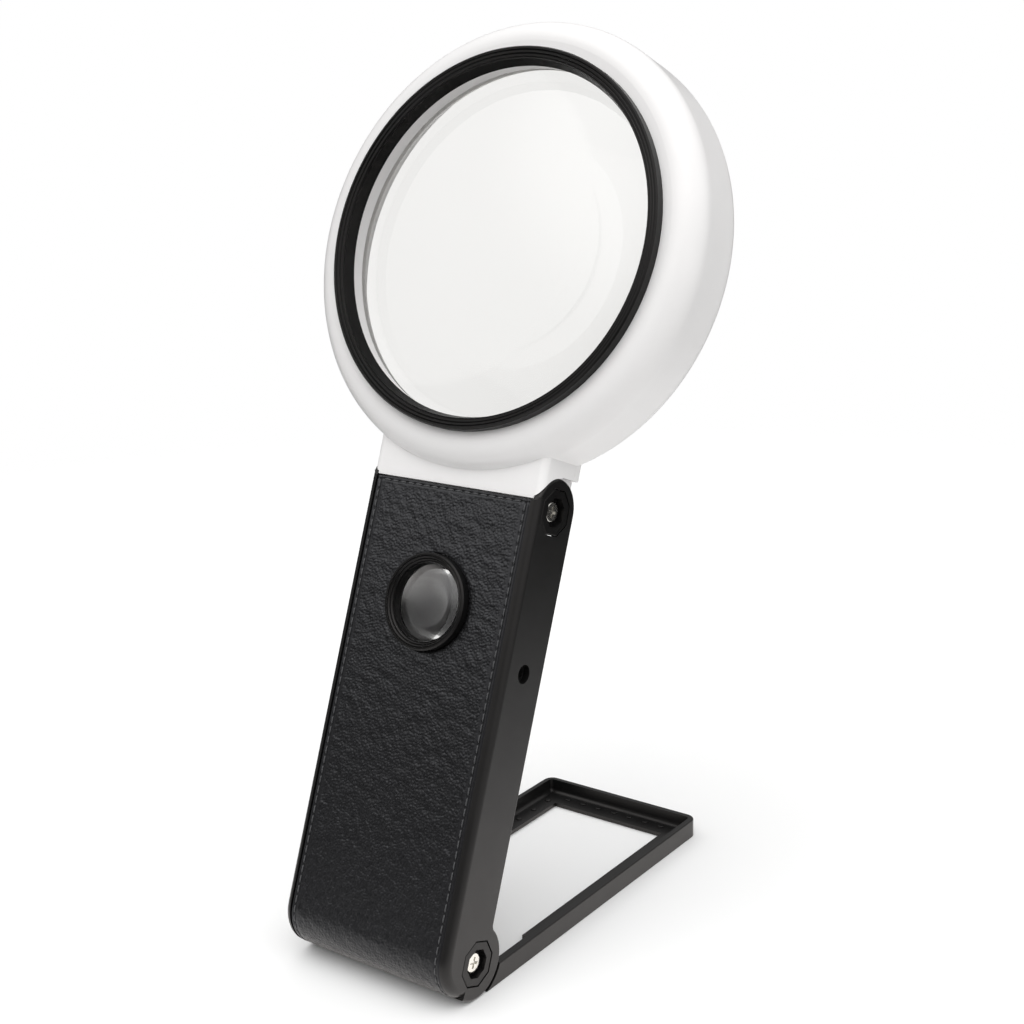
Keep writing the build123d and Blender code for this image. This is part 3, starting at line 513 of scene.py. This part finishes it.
def border_edges(quads):
    """Edges that only one quad uses, as (from, to) in that quad's own direction."""
    edges = np.concatenate([quads[:, [k, (k + 1) % 4]] for k in range(4)])
    ordered = np.sort(edges, axis=1)
    _, first, count = np.unique(ordered, axis=0, return_index=True, return_counts=True)
    return edges[first[count == 1]]


def smooth_step(value, low, high):
    """0 below low, 1 above high and smooth between."""
    part = np.clip((value - low) / (high - low), 0.0, 1.0)
    return part * part * (3.0 - 2.0 * part)


def rounding(distance, width):
    """Drop of a quarter-round edge, as a share of its height, at a distance in from the edge."""
    rest = np.clip(1.0 - distance / width, 0.0, 1.0)
    return 1.0 - np.sqrt(1.0 - rest**2)


# ---------------------------------------------------------------- leather
def leather_point(x, along, lift):
    """Upright points at a distance from the middle, a length down from the top edge, and a lift."""
    turn = np.clip((along - STRAIGHT) / CORNER_RADIUS, 0.0, None)
    radius = CORNER_RADIUS + lift
    depth = CORNER_DEPTH - radius * np.cos(turn)
    height = CORNER_HEIGHT - radius * np.sin(turn) + np.clip(STRAIGHT - along, 0.0, None)
    return np.stack([x + 0 * depth, depth, height], -1)


def nearest_two(points, seeds, cell):
    """Each point's distance to its nearest and second nearest seed, and the nearest seed's rise."""
    home = np.floor(points / cell).astype(int)
    first = np.full(len(points), np.inf)
    second = np.full(len(points), np.inf)
    rise = np.zeros(len(points))
    for di in (-2, -1, 0, 1, 2):
        for dj in (-2, -1, 0, 1, 2):
            i = np.clip(home[:, 0] + di, 0, seeds.shape[0] - 1)
            j = np.clip(home[:, 1] + dj, 0, seeds.shape[1] - 1)
            near = seeds[i, j]
            apart = np.hypot(points[:, 0] - near[:, 0], points[:, 1] - near[:, 1]) * near[:, 2]
            closer = apart < first
            second = np.where(closer, first, np.where(apart > first, np.minimum(second, apart), second))
            rise = np.where(closer, near[:, 3], rise)
            first = np.where(closer, apart, first)
    return first, second, rise


def pebbles(x, along, cell, seed):
    """Pebbled grain, 0 in the creases to 1 on the highest pebbles."""
    chance = np.random.default_rng(seed)
    count = (int(x.max() / cell) + 3, int(along.max() / cell) + 3)
    seeds = np.zeros((*count, 4))
    seeds[..., 0] = (np.arange(count[0])[:, None] + chance.uniform(0.0, 1.0, count)) * cell
    seeds[..., 1] = (np.arange(count[1])[None, :] + chance.uniform(0.0, 1.0, count)) * cell
    seeds[..., 2] = chance.uniform(*PEBBLE_SIZES, count)
    seeds[..., 3] = chance.uniform(*PEBBLE_RISES, count)
    first, second, rise = nearest_two(np.stack([x, along], 1), seeds, cell)
    crease = np.clip((second - first) / (CREASE_WIDTH * cell), 0.0, 1.0)
    return rise * crease * (2.0 - crease)


def ripple(x, along, seed):
    """Slow uneven waves, about -1 to 1."""
    chance = np.random.default_rng(seed)
    total = 0 * x
    for _ in range(WAVES):
        turn, phase = chance.uniform(0, math.tau, 2)
        size = chance.uniform(*WAVE_SIZES)
        total += np.sin((x * math.cos(turn) + along * math.sin(turn)) * math.tau / size + phase)
    return total / WAVE_SHARE


def stitch_places():
    """Middle of each stitch as (x, along, True when it runs across the top)."""
    places = []
    count = int((LEATHER_LENGTH - SIDE_SEAM_SPARE) / STITCH_PITCH)
    for step in range(count):
        along = TOP_STITCH + FIRST_STITCH + step * STITCH_PITCH
        places += [(-SIDE_STITCH, along, False), (SIDE_STITCH, along, False)]
    count = int((2 * SIDE_STITCH - TOP_SEAM_SPARE) / STITCH_PITCH)
    for step in range(count):
        places.append(((step - (count - 1) / 2) * STITCH_PITCH, TOP_STITCH, True))
    return places


def needle_pits(x, along):
    """Depth of the needle holes at both ends of every stitch."""
    pits = 0 * x
    for middle, length, level in stitch_places():
        for side in (-1, 1):
            reach = side * (STITCH_LENGTH / 2 + PIT_OFFSET)
            hole = (middle + reach, length) if level else (middle, length + reach)
            near = (np.abs(x - hole[0]) < PIT_REACH) & (np.abs(along - hole[1]) < PIT_REACH)
            away = np.hypot(x[near] - hole[0], along[near] - hole[1])
            pits[near] += PIT_DEPTH * np.exp(-((away / PIT_WIDTH) ** 2))
    return pits


def leather_grain(x, along, on_grain):
    """Coarse and fine pebbles inside the seams, level leather on the margin."""
    across = x + GRAIN_START
    warp = GRAIN_WARP * ripple(across, along, 3)
    coarse_down = along * (1 - GRAIN_STRETCH) + GRAIN_DOWN - warp
    fine_down = along * (1 + GRAIN_STRETCH) + GRAIN_DOWN
    coarse = pebbles(across + warp, coarse_down, GRAIN_CELL, 1)
    fine = pebbles(across - warp, fine_down, FINE_CELL * GRAIN_CELL, 2)
    grain = COARSE_SHARE * coarse + (1 - COARSE_SHARE) * fine
    return grain * on_grain + MARGIN_GRAIN * (1 - on_grain)


def leather_relief(x, along):
    """Lift of the leather's face over its even surface, and the grain's share of it."""
    side = LEATHER_HALF - np.abs(x)
    on_grain = smooth_step(side, *SIDE_MARGIN) * smooth_step(along, *TOP_MARGIN)
    grain = leather_grain(x, along, on_grain)
    lift = GRAIN_DEPTH * (grain - GRAIN_MIDDLE)
    lift += WAVE_HEIGHT * ripple(x + WAVE_SHIFT, along, 5) * on_grain
    lift -= MARGIN_DROP * (1.0 - smooth_step(side, *MARGIN_DIP))
    for off in (np.abs(x) - SIDE_STITCH, along - TOP_STITCH):
        lift -= SEAM_DEPTH * np.exp(-((off / SEAM_WIDTH) ** 2))
    for edge in (side, along, LEATHER_LENGTH - along):
        lift -= EDGE_ROUND * rounding(edge, EDGE_ROUND)
    return lift - needle_pits(x, along), grain


def leather_grid():
    """Grid over the leather, drawn onto the lens hole's edge: x, along, distance to the hole, kept."""
    columns = int(round(2 * LEATHER_HALF / MESH_STEP)) + 1
    rows = int(round(LEATHER_LENGTH / MESH_STEP)) + 1
    x, along = np.meshgrid(
        np.linspace(-LEATHER_HALF, LEATHER_HALF, columns), np.linspace(0.0, LEATHER_LENGTH, rows)
    )
    x, along = x.ravel(), along.ravel()
    away = np.hypot(x, along - HOLE_ALONG)
    onto = np.abs(away - LENS_HOLE) < HOLE_CATCH * MESH_STEP
    scale = np.where(onto, LENS_HOLE / np.maximum(away, 1e-6), 1.0)
    x, along = x * scale, HOLE_ALONG + (along - HOLE_ALONG) * scale
    kept = (away >= LENS_HOLE) | onto
    quads = np.array(grid_faces(rows, columns))
    return x, along, away, quads[kept[quads].all(axis=1)]


def leather_sheet():
    """The leather: grained face, smooth stitched margin, edges and back, with the lens hole."""
    x, along, away, quads = leather_grid()
    lift, grain = leather_relief(x, along)
    lift -= HOLE_DROP * rounding(away - LENS_HOLE, HOLE_LIP)
    face = leather_point(x, along, lift)
    back = leather_point(x, along, -LEATHER_DEEP + 0 * lift)
    number = len(x)
    rims = border_edges(quads)
    walls = np.stack([rims[:, 1], rims[:, 0], rims[:, 0] + number, rims[:, 1] + number], 1)
    faces = np.concatenate([quads[:, ::-1], quads + number, walls])
    used, again = np.unique(faces, return_inverse=True)
    points = np.concatenate([face, back])[used]
    sheet = mesh_object("leather_cover", points, again.reshape(faces.shape).tolist(), "black_leather")
    shown = np.concatenate([grain, 0.5 + 0 * grain])[used]
    layer = sheet.data.attributes.new("grain_height", "FLOAT", "POINT")
    layer.data.foreach_set("value", shown.astype(np.float32))
    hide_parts("leather_wrap")
    return sheet


# ---------------------------------------------------------------- stitching
def thread_ring(middle, length, level, part):
    """Points round a stitch's thread, at a place from -1 to 1 along it, as (x, along, lift)."""
    run = part * (STITCH_LENGTH / 2 + THREAD_END)
    spread = math.sqrt(max(1.0 - part**4, THREAD_TIP))
    sink = THREAD_SINK if level else THREAD_SINK - SIDE_SINK
    ring = []
    for turn in range(THREAD_SIDES):
        angle = math.tau * turn / THREAD_SIDES
        bulk = THREAD * spread * (1 + THREAD_TWIST * math.cos(2 * angle + TWIST_TURN * part))
        side = bulk * THREAD_WIDER * math.cos(angle)
        lift = sink + THREAD_ARCH * (1 - part**4) + bulk * math.sin(angle)
        ring.append((middle + run, length + side, lift) if level else (middle + side, length + run, lift))
    return ring


def stitches():
    """Sewing thread: one arched, twisted run of thread from needle hole to needle hole per stitch."""
    points = []
    faces = []
    for middle, length, level in stitch_places():
        start = len(points)
        for ring in range(THREAD_RINGS):
            points += thread_ring(middle, length, level, ring / (THREAD_RINGS - 1) * 2 - 1)
        faces += grid_faces(THREAD_RINGS, THREAD_SIDES, start, closed_columns=True)
        faces.append(tuple(range(start, start + THREAD_SIDES)))
        faces.append(tuple(range(len(points) - 1, len(points) - 1 - THREAD_SIDES, -1)))
    points = np.array(points)
    placed = leather_point(points[:, 0], points[:, 1], points[:, 2])
    thread = mesh_object("leather_stitching", placed, faces, "thread")
    return thread


# ---------------------------------------------------------------- light
def lobe(nodes, links, direction, aim, half_angle, strength):
    """Soft round source in the surround: full strength at aim, none past half_angle degrees."""
    dot = vector_node(nodes, links, "DOT_PRODUCT", direction, Vector(aim).normalized())
    edge = math.cos(math.radians(half_angle))
    return remap(nodes, links, dot, (edge, 1.0), (0.0, strength), "SMOOTHERSTEP")


def surround():
    """World that is white where it is seen, and soft sources round a dim room where it only lights."""
    world = bpy.data.worlds.new("surround")
    bpy.context.scene.world = world
    world.use_nodes = True
    nodes, links = world.node_tree.nodes, world.node_tree.links
    direction = nodes.new("ShaderNodeTexCoord").outputs["Generated"]
    sources = [lobe(nodes, links, direction, *source) for source in SOFT_SOURCES]
    light = sources[0]
    for source in sources[1:]:
        light = number_node(nodes, links, "ADD", light, source)
    path = nodes.new("ShaderNodeLightPath")
    camera, transmission = path.outputs["Is Camera Ray"], path.outputs["Is Transmission Ray"]
    seen = number_node(nodes, links, "MAXIMUM", camera, transmission)
    strength = nodes.new("ShaderNodeMix")
    strength.inputs["B"].default_value = 1.0
    links.new(seen, strength.inputs["Factor"])
    links.new(light, strength.inputs["A"])
    background = nodes["Background"]
    background.inputs["Color"].default_value = (1, 1, 1, 1)
    links.new(strength.outputs["Result"], background.inputs["Strength"])


def front_panel(pieces):
    """Dim panel at the front left that lights only the given pieces."""
    data = bpy.data.lights.new("front_panel", "AREA")
    data.shape = "RECTANGLE"
    data.size, data.size_y = PANEL_SIZE
    data.energy = PANEL_POWER
    panel = bpy.data.objects.new("front_panel", data)
    panel.location = PANEL_PLACE
    aim = Vector(PANEL_AIM) - Vector(PANEL_PLACE)
    panel.rotation_euler = aim.to_track_quat("-Z", "Y").to_euler()
    bpy.context.scene.collection.objects.link(panel)
    lit = bpy.data.collections.new("lit_by_front_panel")
    for piece in pieces:
        lit.objects.link(piece)
    panel.light_linking.receiver_collection = lit


# ---------------------------------------------------------------- floor and camera
def floor_material():
    """Matt pale floor that fades out with distance, sooner and brighter to glossy surfaces."""
    material, nodes, links, shader = new_material("pale_floor")
    drift = noise_node(nodes, links, scale=6.0, detail=3.0)
    base = colour_mix(nodes, links, drift, (0.88, 0.88, 0.88), (0.9, 0.9, 0.895))
    links.new(base, shader.inputs["Base Color"])
    shader.inputs["Roughness"].default_value = 0.6
    place = nodes.new("ShaderNodeTexCoord").outputs["Object"]
    away = vector_node(nodes, links, "LENGTH", place)
    glossy = nodes.new("ShaderNodeLightPath").outputs["Is Glossy Ray"]
    alpha = nodes.new("ShaderNodeMix")
    links.new(glossy, alpha.inputs["Factor"])
    seen = remap(nodes, links, away, FLOOR_SEEN, (1.0, 0.0), "SMOOTHSTEP")
    mirrored = remap(nodes, links, away, FLOOR_MIRRORED, (1.0, 0.0), "SMOOTHSTEP")
    links.new(seen, alpha.inputs["A"])
    links.new(mirrored, alpha.inputs["B"])
    links.new(alpha.outputs["Result"], shader.inputs["Alpha"])
    glow = remap(nodes, links, away, FLOOR_GLOW, (GLOW_POWER, 0.0), "SMOOTHSTEP")
    shader.inputs["Emission Color"].default_value = (*GLOW_TINT, 1)
    links.new(number_node(nodes, links, "MULTIPLY", glow, glossy), shader.inputs["Emission Strength"])
    return material


def pale_floor():
    """Round floor just under the object."""
    points = []
    for step in range(FLOOR_SIDES):
        angle = math.tau * step / FLOOR_SIDES
        points.append((FLOOR_SEEN[1] * math.cos(angle), FLOOR_SEEN[1] * math.sin(angle), -FLOOR_DROP))
    mesh = bpy.data.meshes.new("floor")
    mesh.from_pydata(points, [], [range(FLOOR_SIDES)])
    mesh.materials.append(floor_material())
    floor = bpy.data.objects.new("floor", mesh)
    bpy.context.scene.collection.objects.link(floor)


def photo_camera():
    """Camera at the photograph's place, with its slight roll."""
    azimuth, elevation = math.radians(CAMERA_AZIMUTH), math.radians(CAMERA_ELEVATION)
    level = math.cos(elevation)
    forward = Vector((-math.sin(azimuth) * level, math.cos(azimuth) * level, -math.sin(elevation)))
    camera = bpy.data.cameras.new("camera")
    camera.lens = FOCAL_LENGTH
    camera.sensor_width = SENSOR_WIDTH
    obj = bpy.data.objects.new("camera", camera)
    obj.location = LOWER_HINGE + Vector(CAMERA_OFFSET)
    roll = Matrix.Rotation(-math.radians(CAMERA_ROLL), 3, "Z")
    obj.rotation_euler = (forward.to_track_quat("-Z", "Y").to_matrix() @ roll).to_euler()
    bpy.context.scene.collection.objects.link(obj)
    bpy.context.scene.camera = obj


dress_frame()
leather_pieces = (leather_sheet(), stitches())
surround()
front_panel(leather_pieces)
pale_floor()
photo_camera()
bpy.context.scene.view_settings.view_transform = "Standard"
